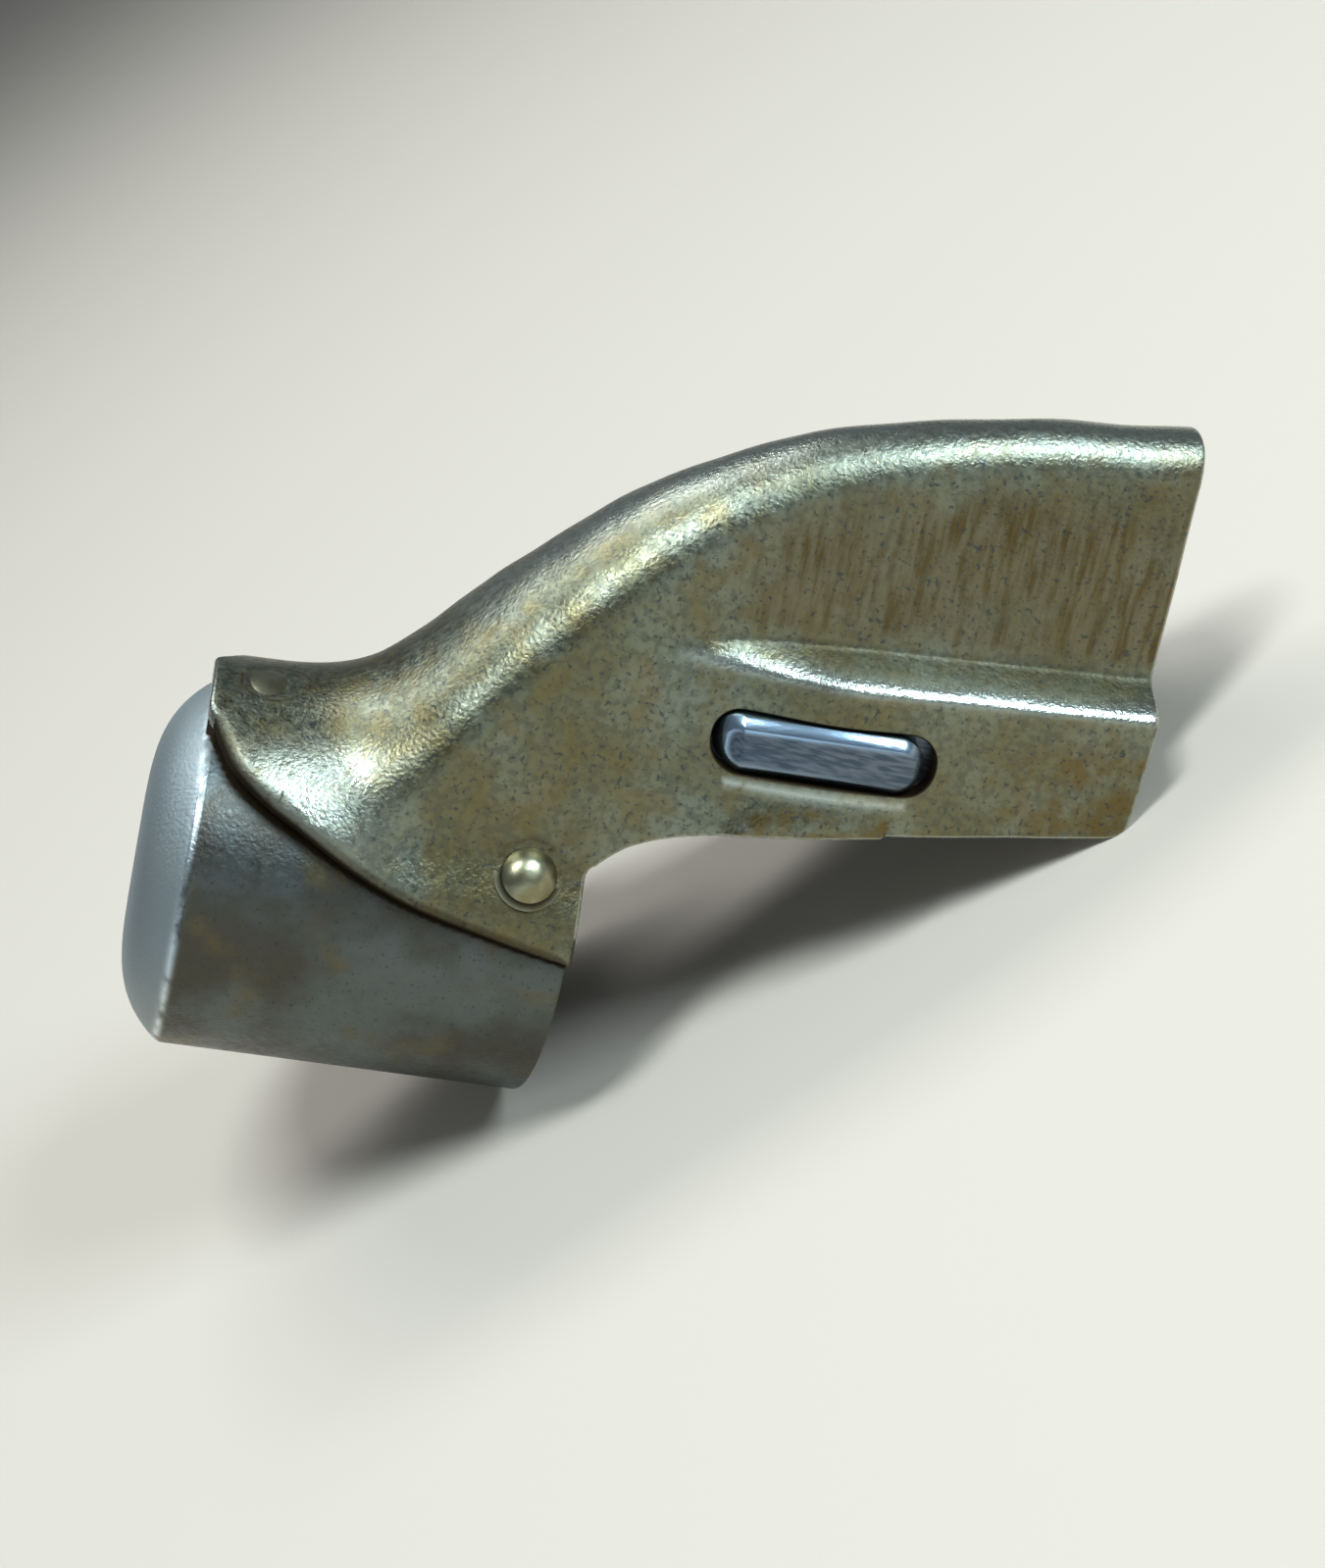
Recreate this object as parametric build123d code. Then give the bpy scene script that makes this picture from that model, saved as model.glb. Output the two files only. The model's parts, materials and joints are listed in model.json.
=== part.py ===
from build123d import *
import math
import os

# Spring-clip cover for the muzzle and front sight of a service rifle, in millimetres.
#
# The pieces are drawn in the bore frame: X runs along the bore, 0 at the cup's mouth and growing to
# the rear, Z points to the hood's ridge, and Y = 0 is the plane of symmetry. main() then turns every
# piece onto the three points that the cover rests on, with Z up and the origin under its middle.

# Cup, a drawn brass cylinder with a domed closed end
CUP_RADIUS = 8.5
CUP_WALL = 0.7
CUP_LENGTH = 17.05
DOME_HEIGHT = 2.2
DOME_FULLNESS = 4.7
RIM_ROUND = 0.25
BORE_DEPTH = 16.3

# Hood, one folded brass sheet
SHEET = 0.85
WRAP_RADIUS = 9.5
WRAP_BLEND = 0.09
HOOD_FRONT = -17.2
HOOD_REAR = 23.2
RIDGE_HEIGHT = [(-17.2, 9.5), (-12.5, 10.1), (-9.5, 11.7), (-5.0, 17.0), (0.0, 22.1),
                (6.4, 26.1), (14.0, 28.4), (23.2, 30.0)]
RIDGE_ROUND = [(-17.2, 9.45), (-12.5, 8.8), (-9.5, 7.4), (-5.0, 5.6), (0.0, 4.4), (8.0, 2.6), (23.2, 2.2)]
PANEL_SLANT = [(-17.2, 0.0), (-9.5, 9.0), (0.0, 11.6), (8.0, 15.0), (23.2, 16.8)]
SEAM_ANGLE = [(-17.2, 76.0), (-15.8, 57.5), (-12.4, 42.3), (-8.1, 29.2), (-3.6, 22.0), (0.0, 17.5)]

# Ledge above the slot, where the lower panel stands out from the upper one
LEDGE_START = 0.5
LEDGE_FULL = 10.5
LEDGE_OUT = 2.05
LEDGE_NARROWS = 0.13
LEDGE_LOW = 16.65
LEDGE_BAND = 0.8
LEDGE_RISE = 0.098
LEDGE_CORNER_REACH = 0.35
LEDGE_EDGE_REACH = 0.75

# Bottom edge of the hood behind the mouth, in X and Z
BOTTOM_EDGE = [(0.0, 6.6), (1.8, 8.1), (4.9, 9.4), (9.5, 10.6), (16.3, 12.0), (22.1, 13.1)]
CORNER_LIFT = 0.9
REST_CORNER = (22.854, 13.489)

# Slot for the catch, and the catch in it
SLOT_CENTRE = (8.9, 14.27)
SLOT_LENGTH = 9.8
SLOT_HEIGHT = 2.8
SLOT_TILT = 6.2
CATCH_HEIGHT = 2.56
CATCH_PROUD = 0.45
CATCH_NOSE = 1.1
CATCH_NOSE_SLOPE = 0.5
CATCH_BEVEL = 0.4
CATCH_CORNER = 1.1
TENON_RADIUS = 0.6

# Spring, one strip folded to a U. It and the catches are drawn in the spring plane, which tilts with
# the slot and has its origin at the bend's centre; these are places of the left leg in that plane.
LEG_KNEE = (11.5, -5.45)
LEG_TIP = (15.3, -5.75)
CATCH_FRONT = 3.1
CATCH_REAR = 11.75
TENON_PLACES = (5.1, 9.9)
STRIP = 0.7
STRIP_HEIGHT = 4.0
BEND_X = 1.2
BEND_RADIUS = 3.35
FLEX_GAP = 0.06

# Rivets
SHANK_RADIUS = 0.75
SIDE_HEAD_RADIUS = 1.25
SIDE_HEAD_SIDE = 0.35
SIDE_HEAD_HEIGHT = 0.9
SIDE_RIVET_X = -2.55
SIDE_RIVET_ANGLE = 40.5
TOP_HEAD_RADIUS = 1.45
TOP_HEAD_SIDE = 0.1
TOP_HEAD_HEIGHT = 0.45
COLLAR_MARGIN = 0.3
COLLAR_HEIGHT = 0.08
TOP_RIVET_X = -14.4
RIVET_END = 7.85

STATION_COUNT = 23
PANEL_POINTS = 13
LEDGE_POINTS = 7


def curve_at(points, x):
    """Value at x of the smooth curve through (x, value) points, level past both ends."""
    if x <= points[0][0]:
        return points[0][1]
    if x >= points[-1][0]:
        return points[-1][1]
    start = max(i for i in range(len(points) - 1) if points[i][0] <= x)

    def slope(i):
        low, high = max(i - 1, 0), min(i + 1, len(points) - 1)
        return (points[high][1] - points[low][1]) / (points[high][0] - points[low][0])

    (x0, v0), (x1, v1) = points[start], points[start + 1]
    span = x1 - x0
    t = (x - x0) / span
    rise0, rise1 = slope(start) * span, slope(start + 1) * span
    return ((2 * t ** 3 - 3 * t ** 2 + 1) * v0 + (t ** 3 - 2 * t ** 2 + t) * rise0
            + (3 * t ** 2 - 2 * t ** 3) * v1 + (t ** 3 - t ** 2) * rise1)


def smooth_step(t):
    """0 below 0, 1 above 1 and an S between."""
    t = min(max(t, 0.0), 1.0)
    return t * t * (3 - 2 * t)


def smooth_max(a, b, blend):
    """The larger of two lengths, with the corner between them rounded over a share of their size."""
    reach = blend * max(a, b)
    overlap = max(reach - abs(a - b), 0.0) / reach
    return max(a, b) + overlap * overlap * reach / 4


def soft_above(value, reach):
    """The value where it is above 0, else 0, with the corner between them rounded over reach."""
    return max(value, 0.0) + max(reach - abs(value), 0.0) ** 2 / (4 * reach)


def ledge_out(x, z, depth):
    """How far the lower panel stands out at x and z."""
    low = LEDGE_LOW + LEDGE_RISE * x - depth
    amount = smooth_step((x - LEDGE_START) / (LEDGE_FULL - LEDGE_START))
    ramp = LEDGE_OUT * (low + LEDGE_BAND - z) / LEDGE_BAND
    missing = soft_above(LEDGE_OUT - soft_above(ramp, LEDGE_CORNER_REACH), LEDGE_EDGE_REACH)
    return amount * (LEDGE_OUT - missing - LEDGE_NARROWS * max(low - z, 0.0))


def hood_point(x, angle, depth):
    """Point (Y, Z) of the hood's section at x, at an angle above the horizontal, depth under its skin."""
    ridge_round = curve_at(RIDGE_ROUND, x)
    slant = math.radians(curve_at(PANEL_SLANT, x))
    step = 0.1
    climb = (curve_at(RIDGE_HEIGHT, x + step) - curve_at(RIDGE_HEIGHT, x - step)) / (2 * step)
    top = curve_at(RIDGE_HEIGHT, x) - depth * math.hypot(1, climb)
    ridge_round -= depth
    centre = top - ridge_round
    tangent_angle = math.atan2(centre + ridge_round * math.sin(slant), ridge_round * math.cos(slant))
    if angle < tangent_angle:
        roof = (ridge_round + centre * math.sin(slant)) / math.cos(angle - slant)
    else:
        side = centre * math.cos(angle)
        roof = centre * math.sin(angle) + math.sqrt(max(ridge_round ** 2 - side ** 2, 0.0))
    radius = smooth_max(roof, WRAP_RADIUS - depth, WRAP_BLEND)
    y, z = radius * math.cos(angle), radius * math.sin(angle)
    return y + ledge_out(x, z, depth), z


def ledge_shares(x, depth):
    """Shares of the half section at which the ledge's lower and upper lines lie."""
    x = max(x, 0.0)
    fine, run = fine_section(x, depth)
    low = LEDGE_LOW + LEDGE_RISE * x - depth
    slope = LEDGE_OUT / LEDGE_BAND
    marks = (low - LEDGE_EDGE_REACH / slope, low + LEDGE_BAND + LEDGE_CORNER_REACH / slope)
    return [next(length for (y, z), length in zip(fine, run) if z > mark) / run[-1] for mark in marks]


def fine_section(x, depth):
    """Closely spaced points of the half section and the running length at each."""
    seam = math.radians(curve_at(SEAM_ANGLE, x))
    samples = 600
    fine = [hood_point(x, seam + (math.pi / 2 - seam) * i / samples, depth) for i in range(samples + 1)]
    run = [0.0]
    for before, after in zip(fine, fine[1:]):
        run.append(run[-1] + math.dist(before, after))
    return fine, run


def half_section(x, depth):
    """Points of the hood's section from its seam up to the ridge, with the ledge's lines among them."""
    fine, run = fine_section(x, depth)
    low, high = ledge_shares(x, depth)
    shares = ([low * i / PANEL_POINTS for i in range(PANEL_POINTS)]
              + [low + (high - low) * i / LEDGE_POINTS for i in range(LEDGE_POINTS)]
              + [high + (1 - high) * i / PANEL_POINTS for i in range(PANEL_POINTS + 1)])
    points = []
    index = 0
    for share in shares:
        target = run[-1] * share
        while index < len(run) - 2 and run[index + 1] < target:
            index += 1
        part = (target - run[index]) / (run[index + 1] - run[index])
        (ya, za), (yb, zb) = fine[index], fine[index + 1]
        points.append((ya + part * (yb - ya), za + part * (zb - za)))
    return points


def skin_line(x, depth):
    """The hood's whole section at x as one spline, from the left seam over the ridge to the right."""
    half = half_section(x, depth)
    left = [Vector(x, -y, z) for y, z in half[:-1]]
    right = [Vector(x, y, z) for y, z in reversed(half[:-1])]
    return Edge.make_spline(left + [Vector(x, 0, half[-1][1])] + right)


def hood_section(x):
    """Closed outline of the sheet at x."""
    outer = skin_line(x, 0.0)
    inner = skin_line(x, SHEET)
    left_end = Edge.make_line(outer @ 0, inner @ 0)
    right_end = Edge.make_line(outer @ 1, inner @ 1)
    return Wire([outer, right_end, inner, left_end])


def outer_half_width(x, z):
    """Half width of the hood's outer skin at x and z, between the wrap and the ridge."""
    low, high = math.radians(10), math.radians(89.9)
    for _ in range(40):
        middle = (low + high) / 2
        if hood_point(x, middle, 0.0)[1] < z:
            low = middle
        else:
            high = middle
    return hood_point(x, low, 0.0)[0]


def slot_prism():
    """The catch slot, right across the hood."""
    tilt = math.radians(SLOT_TILT)
    plane = Plane((SLOT_CENTRE[0], 0, SLOT_CENTRE[1]), x_dir=(math.cos(tilt), 0, math.sin(tilt)),
                  z_dir=(0, -1, 0))
    outline = plane * RectangleRounded(SLOT_LENGTH, SLOT_HEIGHT, SLOT_HEIGHT * 0.46)
    return extrude(outline, 2 * WRAP_RADIUS, both=True)


def bottom_prism():
    """What is cut away behind the mouth, under the hood's bottom edge and round its rear corner."""
    corner = BOTTOM_EDGE[-1]
    edge = Spline([(x, 0, z) for x, z in BOTTOM_EDGE])
    round_end = (HOOD_REAR, 0, corner[1] + CORNER_LIFT)
    corner_round = TangentArc(edge @ 1, round_end, tangent=edge % 1)
    far, low = HOOD_REAR + 3, -WRAP_RADIUS
    rest = Polyline(round_end, (far, 0, round_end[2]), (far, 0, low), (0, 0, low), edge @ 0)
    face = make_face([edge, corner_round, rest])
    return extrude(face, 2 * WRAP_RADIUS, dir=(0, 1, 0), both=True)


def rivet_hole(x, angle):
    """Cylinder for a rivet's hole, radial at x and at an angle above the horizontal on the left."""
    return rivet_frame(x, angle) * Cylinder(SHANK_RADIUS, 5 * SHEET)


def rivet_frame(x, angle):
    """Frame at the hood's skin with its Z axis pointing out along the radius."""
    out = (0, -math.cos(math.radians(angle)), math.sin(math.radians(angle)))
    return Plane((x, out[1] * WRAP_RADIUS, out[2] * WRAP_RADIUS), x_dir=(1, 0, 0), z_dir=out)


def dome_curve(start, radius):
    """Half profile of a dome from its edge at start to the axis."""
    shares = (1.0, 0.97, 0.93, 0.87, 0.78, 0.65, 0.5, 0.3, 0.0)
    points = [(start - DOME_HEIGHT * (1 - share ** DOME_FULLNESS), radius * share) for share in shares]
    return Spline(*points)


def make_cup():
    """Cup turned about the bore: outside, domed end and bore in one profile."""
    bore_radius = CUP_RADIUS - CUP_WALL
    wall = Line((0, CUP_RADIUS), (RIM_ROUND - CUP_LENGTH, CUP_RADIUS))
    dome = dome_curve(-CUP_LENGTH, CUP_RADIUS - RIM_ROUND / 2)
    rim = Line(wall @ 1, dome @ 0)
    inner_dome = dome_curve(-BORE_DEPTH, bore_radius)
    axis_line = Line(dome @ 1, inner_dome @ 1)
    bore = Line(inner_dome @ 0, (0, bore_radius))
    mouth = Line(bore @ 1, wall @ 0)
    face = make_face([wall, rim, dome, axis_line, inner_dome, bore, mouth])
    cup = revolve(face, Axis.X)
    for x, angle in ((SIDE_RIVET_X, SIDE_RIVET_ANGLE), (SIDE_RIVET_X, 180 - SIDE_RIVET_ANGLE),
                     (TOP_RIVET_X, 90)):
        cup -= rivet_hole(x, angle)
    return cup


def make_hood():
    """Folded sheet lofted through its sections, then cut to its edges, slots and rivet holes."""
    stations = [HOOD_FRONT + (HOOD_REAR - HOOD_FRONT) * i / (STATION_COUNT - 1) for i in range(STATION_COUNT)]
    hood = Solid.make_loft([hood_section(x) for x in stations], False)
    hood = hood - bottom_prism() - slot_prism()
    for x, angle in ((SIDE_RIVET_X, SIDE_RIVET_ANGLE), (SIDE_RIVET_X, 180 - SIDE_RIVET_ANGLE),
                     (TOP_RIVET_X, 90)):
        hood -= rivet_hole(x, angle)
    return hood


def make_rivet(x, angle, head, hood):
    """Button-headed rivet from the hood's skin to the cup's bore; head is (radius, side, height)."""
    radius, side, height = head
    sunk = 0.2
    length = WRAP_RADIUS - RIVET_END + side
    shank = Pos(0, 0, side - length / 2) * Cylinder(SHANK_RADIUS, length)
    rise = height - side
    dome_radius = (radius ** 2 + rise ** 2) / (2 * rise)
    ball = Pos(0, 0, height - dome_radius) * Sphere(dome_radius)
    button = Pos(0, 0, (height - sunk) / 2) * Cylinder(radius, height + sunk)
    collar_height = COLLAR_HEIGHT + sunk
    collar = Pos(0, 0, COLLAR_HEIGHT - collar_height / 2) * Cylinder(radius + COLLAR_MARGIN, collar_height)
    frame = rivet_frame(x, angle)
    return frame * ((ball & button) + collar) - hood + frame * shank


def spring_plane():
    """Plane of the spring, level with the slot's centre and tilted with it."""
    tilt = math.radians(SLOT_TILT)
    along = (math.cos(tilt), 0, math.sin(tilt))
    rise = BEND_X - SLOT_CENTRE[0]
    origin = (BEND_X, 0, SLOT_CENTRE[1] + rise * math.tan(tilt))
    return Plane(origin, x_dir=along, z_dir=(-math.sin(tilt), 0, math.cos(tilt)))


def make_spring_bend():
    """Half ring that joins the two legs."""
    outer, inner = BEND_RADIUS + STRIP / 2, BEND_RADIUS - STRIP / 2
    ring = Circle(outer) - Circle(inner)
    front_half = Pos(-outer, 0) * Rectangle(2 * outer, 2 * outer + 1)
    bend = extrude(ring & front_half, STRIP_HEIGHT / 2, both=True)
    return spring_plane() * bend


def strip_outline(points, width):
    """Outline of a strip of one width along a bent line, mitred at its bends."""
    def square_to(a, b):
        length = math.dist(a, b)
        return ((a[1] - b[1]) / length, (b[0] - a[0]) / length)

    normals = [square_to(a, b) for a, b in zip(points, points[1:])]
    corners = [normals[0]]
    for before, after in zip(normals, normals[1:]):
        share = 1 + before[0] * after[0] + before[1] * after[1]
        corners.append(((before[0] + after[0]) / share, (before[1] + after[1]) / share))
    corners.append(normals[-1])
    near = [(p[0] + width / 2 * c[0], p[1] + width / 2 * c[1]) for p, c in zip(points, corners)]
    far = [(p[0] - width / 2 * c[0], p[1] - width / 2 * c[1]) for p, c in zip(points, corners)]
    return make_face(Polyline(*near, *reversed(far), close=True))


def make_leg(side):
    """One leg of the spring, with two holes for its catch; side is -1 on the left and 1 on the right."""
    middle = [(FLEX_GAP, -BEND_RADIUS), LEG_KNEE, LEG_TIP]
    leg = extrude(strip_outline(middle, STRIP), STRIP_HEIGHT / 2, both=True)
    for x in TENON_PLACES:
        leg -= tenon(x)
    leg = spring_plane() * leg
    return leg if side < 0 else leg.mirror(Plane.XZ)


def leg_skin(x):
    """Y of the left leg's outer face at x, both in the spring plane."""
    return leg_middle(x) - STRIP / 2 * math.hypot(1, leg_run())


def leg_run():
    """Slope of the left leg's first run in the spring plane."""
    return (LEG_KNEE[1] + BEND_RADIUS) / (LEG_KNEE[0] - FLEX_GAP)


def leg_middle(x):
    return -BEND_RADIUS + leg_run() * (x - FLEX_GAP)


def tenon(x):
    """Pin that fixes the catch in the leg, in the spring plane."""
    out = (leg_run(), -1, 0)
    return Plane((x, leg_middle(x), 0), z_dir=out) * Cylinder(TENON_RADIUS, STRIP)


def catch_skin(x):
    """Y of the left catch's outer face at x, both in the spring plane."""
    point = spring_plane().from_local_coords(Vector(x, 0, 0))
    return -outer_half_width(point.X, point.Z) - CATCH_PROUD


def make_catch(side):
    """Bevelled steel block on the leg, standing through the slot."""
    nose = CATCH_FRONT + CATCH_NOSE
    middle = (nose + CATCH_REAR) / 2
    outline = make_face(Polyline((CATCH_FRONT, leg_skin(CATCH_FRONT)),
                                 (CATCH_FRONT, catch_skin(CATCH_FRONT) + CATCH_NOSE * CATCH_NOSE_SLOPE),
                                 (nose, catch_skin(nose)), (middle, catch_skin(middle)),
                                 (CATCH_REAR, catch_skin(CATCH_REAR)), (CATCH_REAR, leg_skin(CATCH_REAR)),
                                 close=True))
    block = extrude(outline, CATCH_HEIGHT / 2, both=True)
    bevelled = [edge for edge in block.edges()
                if abs(edge.tangent_at(0.5).Z) < 0.1 and edge.center().Y < leg_skin(edge.center().X) - 1]
    block = chamfer(bevelled, CATCH_BEVEL)
    length = CATCH_REAR - CATCH_FRONT
    side_view = Plane(((CATCH_FRONT + CATCH_REAR) / 2, 0, 0), x_dir=(1, 0, 0), z_dir=(0, -1, 0))
    block &= extrude(side_view * RectangleRounded(length, CATCH_HEIGHT, CATCH_CORNER), WRAP_RADIUS)
    for x in TENON_PLACES:
        block += tenon(x)
    block = spring_plane() * block
    return block if side < 0 else block.mirror(Plane.XZ)


def turn(shape):
    """Turn a shape so that the mouth's lowest point and the hood's rear corners are level."""
    x, z = REST_CORNER
    return shape.rotate(Axis.Y, math.degrees(math.atan2(z + CUP_RADIUS, x)))


def onto_feet(shapes):
    """Shift that puts turned shapes on Z = 0 with the origin under the middle of their length."""
    fine = 0.01
    points = [point for shape in shapes for point in turn(shape).tessellate(fine)[0]]
    left, right = min(point.X for point in points), max(point.X for point in points)
    return Pos(-(left + right) / 2, 0, -min(point.Z for point in points))


def main():
    hood = make_hood()
    top_head = (TOP_HEAD_RADIUS, TOP_HEAD_SIDE, TOP_HEAD_HEIGHT)
    side_head = (SIDE_HEAD_RADIUS, SIDE_HEAD_SIDE, SIDE_HEAD_HEIGHT)
    pieces = {
        "cup": make_cup(),
        "hood": hood,
        "top_rivet": make_rivet(TOP_RIVET_X, 90, top_head, hood),
        "spring_bend": make_spring_bend(),
    }
    for name, side, angle in (("left", -1, SIDE_RIVET_ANGLE), ("right", 1, 180 - SIDE_RIVET_ANGLE)):
        pieces[name + "_rivet"] = make_rivet(SIDE_RIVET_X, angle, side_head, hood)
        pieces["spring_leg_" + name] = make_leg(side)
        pieces["catch_" + name] = make_catch(side)
    stand = onto_feet([pieces["cup"], hood])
    os.makedirs("parts", exist_ok=True)
    for name, piece in pieces.items():
        export_step(stand * turn(piece), f"parts/{name}.step")
    return stand


if __name__ == "__main__":
    main()
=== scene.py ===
import json
import math

import bpy
import numpy as np
from mathutils import Matrix, Vector
from mathutils.geometry import delaunay_2d_cdt


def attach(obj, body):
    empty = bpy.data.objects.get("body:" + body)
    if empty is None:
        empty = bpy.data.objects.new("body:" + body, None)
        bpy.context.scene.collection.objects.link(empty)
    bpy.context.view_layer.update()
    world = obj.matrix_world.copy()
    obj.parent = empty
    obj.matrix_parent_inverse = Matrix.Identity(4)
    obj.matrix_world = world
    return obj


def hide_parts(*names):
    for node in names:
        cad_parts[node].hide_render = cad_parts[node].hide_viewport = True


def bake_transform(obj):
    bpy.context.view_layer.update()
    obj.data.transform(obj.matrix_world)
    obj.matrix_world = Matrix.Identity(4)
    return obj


# Looks of the muzzle and sight cover. Shapes are drawn in millimetres in the bore frame, as the CAD
# is: X along the bore from the cup's mouth to the rear, Z to the hood's ridge, Y = 0 the plane of
# symmetry. in_row() puts them in the row frame, in metres, by the muzzle bore's place in the record.

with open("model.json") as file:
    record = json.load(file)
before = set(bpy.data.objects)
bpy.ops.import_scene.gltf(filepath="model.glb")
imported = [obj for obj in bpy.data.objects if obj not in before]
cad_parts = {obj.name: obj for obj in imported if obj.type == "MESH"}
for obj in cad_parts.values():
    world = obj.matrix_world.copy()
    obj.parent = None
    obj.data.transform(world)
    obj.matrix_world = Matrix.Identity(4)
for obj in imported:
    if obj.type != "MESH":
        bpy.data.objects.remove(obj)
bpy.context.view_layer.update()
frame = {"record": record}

MM = 0.001
SQUARE = math.pi / 2

# Cup
CUP_RADIUS = 8.5
CUP_WALL = 0.7
CUP_LENGTH = 17.05
DOME_HEIGHT = 2.2
DOME_FULLNESS = 4.7
RIM_ROUND = 0.25
BORE_DEPTH = 16.3
MOUTH_ROUND = 0.2

# Hood sheet and its section
SHEET = 0.85
WRAP_RADIUS = 9.5
WRAP_BLEND = 0.09
HOOD_FRONT = -17.2
HOOD_REAR = 23.2
RIDGE_HEIGHT = [(-17.2, 9.5), (-12.5, 10.1), (-9.5, 11.7), (-5.0, 17.0), (0.0, 22.1),
                (6.4, 26.1), (14.0, 28.4), (23.2, 30.0)]
RIDGE_ROUND = [(-17.2, 9.45), (-12.5, 8.8), (-9.5, 7.4), (-5.0, 5.6), (0.0, 4.4), (8.0, 2.6), (23.2, 2.2)]
PANEL_SLANT = [(-17.2, 0.0), (-9.5, 9.0), (0.0, 11.6), (8.0, 15.0), (23.2, 16.8)]
SEAM_ANGLE = [(-17.2, 76.0), (-15.8, 57.5), (-12.4, 42.3), (-8.1, 29.2), (-3.6, 22.0), (0.0, 17.5)]
LEDGE_START = 0.5
LEDGE_FULL = 10.5
LEDGE_OUT = 2.05
LEDGE_NARROWS = 0.13
LEDGE_LOW = 16.65
LEDGE_BAND = 0.8
LEDGE_RISE = 0.098
LEDGE_CORNER_REACH = 0.35
LEDGE_EDGE_REACH = 0.75
BOTTOM_EDGE = [(0.0, 6.6), (1.8, 8.1), (4.9, 9.4), (9.5, 10.6), (16.3, 12.0), (22.1, 13.1)]
REAR_CORNER_LIFT = 0.9
EDGE_ROUND = 0.2
SEAM_ROUND = 0.55
SLOT_ROUND = 0.1
FRONT_CORNER = 0.8
INNER_ROUND = 0.12
EDGE_SPACING = 0.16

# Pinch in the hood's bottom edge under the slot: the line it starts from and how deep it goes
CRIMP_TOP = [(5.0, 10.6), (6.6, 11.5), (8.2, 12.15), (10.0, 12.45), (12.3, 12.7)]
CRIMP_STEP = 12.45
CRIMP_SLOPE = 0.26
CRIMP_DEPTH = 0.34

# Slot, catches and spring: the slot's centre is (x, z), and the leg's knee and tip are (along, Y) in
# the spring plane
SLOT_CENTRE = (8.9, 14.27)
SLOT_LENGTH = 9.8
SLOT_HEIGHT = 2.8
SLOT_CORNER = 1.29
SLOT_TILT = math.radians(6.2)
BEND_X = 1.2
BEND_RADIUS = 3.35
STRIP = 0.7
STRIP_HEIGHT = 4.0
LEG_KNEE = (11.5, -5.45)
LEG_TIP = (15.3, -5.75)
CATCH_FRONT = 3.0
CATCH_REAR = 12.0
CATCH_HEIGHT = 2.64
CATCH_PROUD = 0.55
CATCH_NOSE = 1.1
CATCH_NOSE_SLOPE = 0.5
CATCH_BEVEL = 0.4
CATCH_CORNER = 1.1

# Rivets: place is (x, angle above the horizontal on the left), head is (radius, side, height, how
# far its flat collar reaches past it)
SHANK_RADIUS = 0.75
RIVET_END = 7.85
SIDE_RIVET = (-2.55, 40.5)
TOP_RIVET_X = -14.4
SIDE_HEAD = (1.25, 0.35, 0.9, 0.3)
TOP_HEAD = (1.45, 0.22, 0.45, 0.14)
COLLAR_HEIGHT = 0.08

# Width of the dark line on the cup along the seam, painted shade where the hood's edge overhangs it
SEAM_GAP = 0.2

# Camera: turned in the row frame, aimed at a place in the bore frame
CAMERA_AZIMUTH = 9.58
CAMERA_ELEVATION = 28.91
CAMERA_ROLL = 33.5
CAMERA_DISTANCE = 0.10425
CAMERA_TARGET = (4.66, 2.32, 6.84)
CAMERA_LENS = 49.53

ROOM_LIGHT = 0.19


# ---------------------------------------------------------------- places

bore = next(mount for mount in frame["record"]["mounts"] if mount["name"] == "muzzle_bore")
ALONG = Vector(bore["axis"])
UP = Vector((-ALONG.z, 0, ALONG.x))
MOUNT_DEPTH = 8.0
MOUTH = Vector(bore["pos_m"]) + ALONG * MOUNT_DEPTH * MM


def in_row(points):
    """Bore-frame points in millimetres as row-frame points in metres."""
    points = np.asarray(points, float)
    basis = np.array([ALONG, (0, 1, 0), UP])
    return points @ basis * MM + np.array(MOUTH)


def spring_plane(points):
    """Points (along, Y, height) of the spring plane in the bore frame."""
    points = np.asarray(points, float)
    cos, sin = math.cos(SLOT_TILT), math.sin(SLOT_TILT)
    origin_z = SLOT_CENTRE[1] + (BEND_X - SLOT_CENTRE[0]) * math.tan(SLOT_TILT)
    x = BEND_X + points[..., 0] * cos - points[..., 2] * sin
    z = origin_z + points[..., 0] * sin + points[..., 2] * cos
    return np.stack([x, points[..., 1], z], -1)


# ---------------------------------------------------------------- curves and steps

def curve_at(points, x):
    """Values at x of the smooth curve through (x, value) points, level past both ends."""
    knots = np.array(points, float)
    xs, values = knots[:, 0], knots[:, 1]
    slopes = np.empty(len(xs))
    slopes[1:-1] = (values[2:] - values[:-2]) / (xs[2:] - xs[:-2])
    slopes[0] = (values[1] - values[0]) / (xs[1] - xs[0])
    slopes[-1] = (values[-1] - values[-2]) / (xs[-1] - xs[-2])
    x = np.clip(np.asarray(x, float), xs[0], xs[-1])
    i = np.clip(np.searchsorted(xs, x, side="right") - 1, 0, len(xs) - 2)
    span = xs[i + 1] - xs[i]
    t = (x - xs[i]) / span
    return ((2 * t ** 3 - 3 * t ** 2 + 1) * values[i] + (t ** 3 - 2 * t ** 2 + t) * slopes[i] * span
            + (3 * t ** 2 - 2 * t ** 3) * values[i + 1] + (t ** 3 - t ** 2) * slopes[i + 1] * span)


def smooth_step(t):
    t = np.clip(t, 0, 1)
    return t * t * (3 - 2 * t)


def smooth_max(a, b, blend):
    reach = blend * np.maximum(a, b)
    overlap = np.maximum(reach - np.abs(a - b), 0) / reach
    return np.maximum(a, b) + overlap ** 2 * reach / 4


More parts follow.
